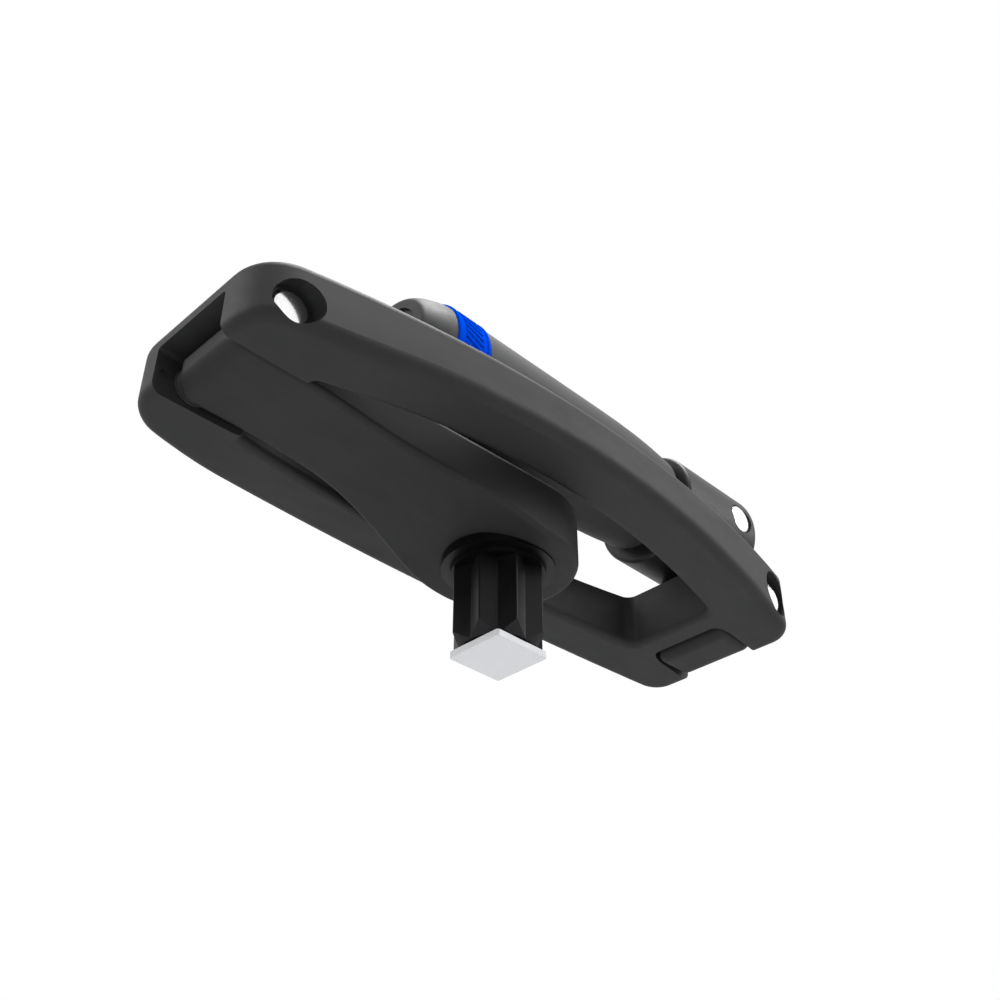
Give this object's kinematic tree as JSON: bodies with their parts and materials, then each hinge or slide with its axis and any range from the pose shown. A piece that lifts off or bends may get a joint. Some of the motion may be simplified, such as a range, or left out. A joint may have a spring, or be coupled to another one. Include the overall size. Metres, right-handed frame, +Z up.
{
  "type": "folding winch handle",
  "caption": "Folded sailing winch handle: drive arm with star drive and lock plate in a bowed loop frame, with a round spinning grip folded along its back",
  "frame": {"origin": "on the drive star's axis, on the flat seat face that rests on the winch top", "axes": "+Z up along the star's axis away from the winch, the star pointing to -Z; +X along the frame from the arm pivot to the grip link; +Y across the frame"},
  "size_m": [0.197, 0.0764, 0.095],
  "materials": {
    "frame_black": "fine matte moulded charcoal",
    "arm_black": "fine matte moulded charcoal",
    "link_black": "fine matte moulded charcoal",
    "knuckle_black": "fine matte moulded charcoal",
    "grip_black": "matte soft-touch sleeve",
    "cap_black": "matte moulded charcoal",
    "knob_black": "matte moulded charcoal",
    "band_blue": "satin saturated blue",
    "star_black": "black hard-anodised",
    "plate_silver": "fine blasted, clear anodised",
    "bush_dark": "self-lubricating bearing plastic",
    "polished_steel": "polished stainless steel",
    "plain_steel": "plain stainless steel"
  },
  "bodies": {
    "arm": {"drive_arm": "arm_black", "drive_star": "star_black", "star_clip": "plain_steel", "arm_bushes": "bush_dark", "arm_detent_balls": "polished_steel", "arm_detent_spring": "plain_steel", "lock_spring": "plain_steel"},
    "lock": {"lock_spindle": "plain_steel", "lock_plate": "plate_silver", "release_knob": "knob_black", "knob_screw": "plain_steel"},
    "frame": {"loop_frame": "frame_black", "arm_pivot_pin": "polished_steel", "arm_pivot_pin_cap": "polished_steel", "link_pivot_pin": "polished_steel", "link_pivot_pin_cap": "polished_steel"},
    "link": {"grip_link": "link_black", "link_bushes": "bush_dark", "tongue_bushes": "bush_dark", "link_detent_balls": "polished_steel", "link_detent_spring": "plain_steel"},
    "knuckle": {"knuckle": "knuckle_black", "knuckle_pin": "polished_steel", "knuckle_pin_cap": "polished_steel", "grip_spindle": "plain_steel", "spindle_washer": "plain_steel", "spindle_screw": "plain_steel"},
    "grip": {"grip_tube": "grip_black", "grip_bushes": "bush_dark", "grip_band": "band_blue", "grip_end_cap": "cap_black"}
  },
  "joints": [
    {"name": "lock_turn", "type": "hinge", "parent": "arm", "child": "lock", "pos_m": [0, 0, 0], "axis": [0, 0, 1], "range_deg": [0, 22.5], "stiffness_Nm_per_rad": 0.05},
    {"name": "arm_fold", "type": "hinge", "parent": "arm", "child": "frame", "pos_m": [-0.087, 0, 0.0172], "axis": [0, -1, 0], "range_deg": [0, 180]},
    {"name": "link_fold", "type": "hinge", "parent": "frame", "child": "link", "pos_m": [0.087, 0, 0.0184], "axis": [0, 1, 0], "range_deg": [0, 180]},
    {"name": "knuckle_fold", "type": "hinge", "parent": "link", "child": "knuckle", "pos_m": [0.0907, 0, 0.052], "axis": [0, 1, 0], "range_deg": [0, 90]},
    {"name": "grip_spin", "type": "hinge", "parent": "knuckle", "child": "grip", "pos_m": [0, 0, 0.052], "axis": [1, 0, 0], "continuous": true}
  ]
}
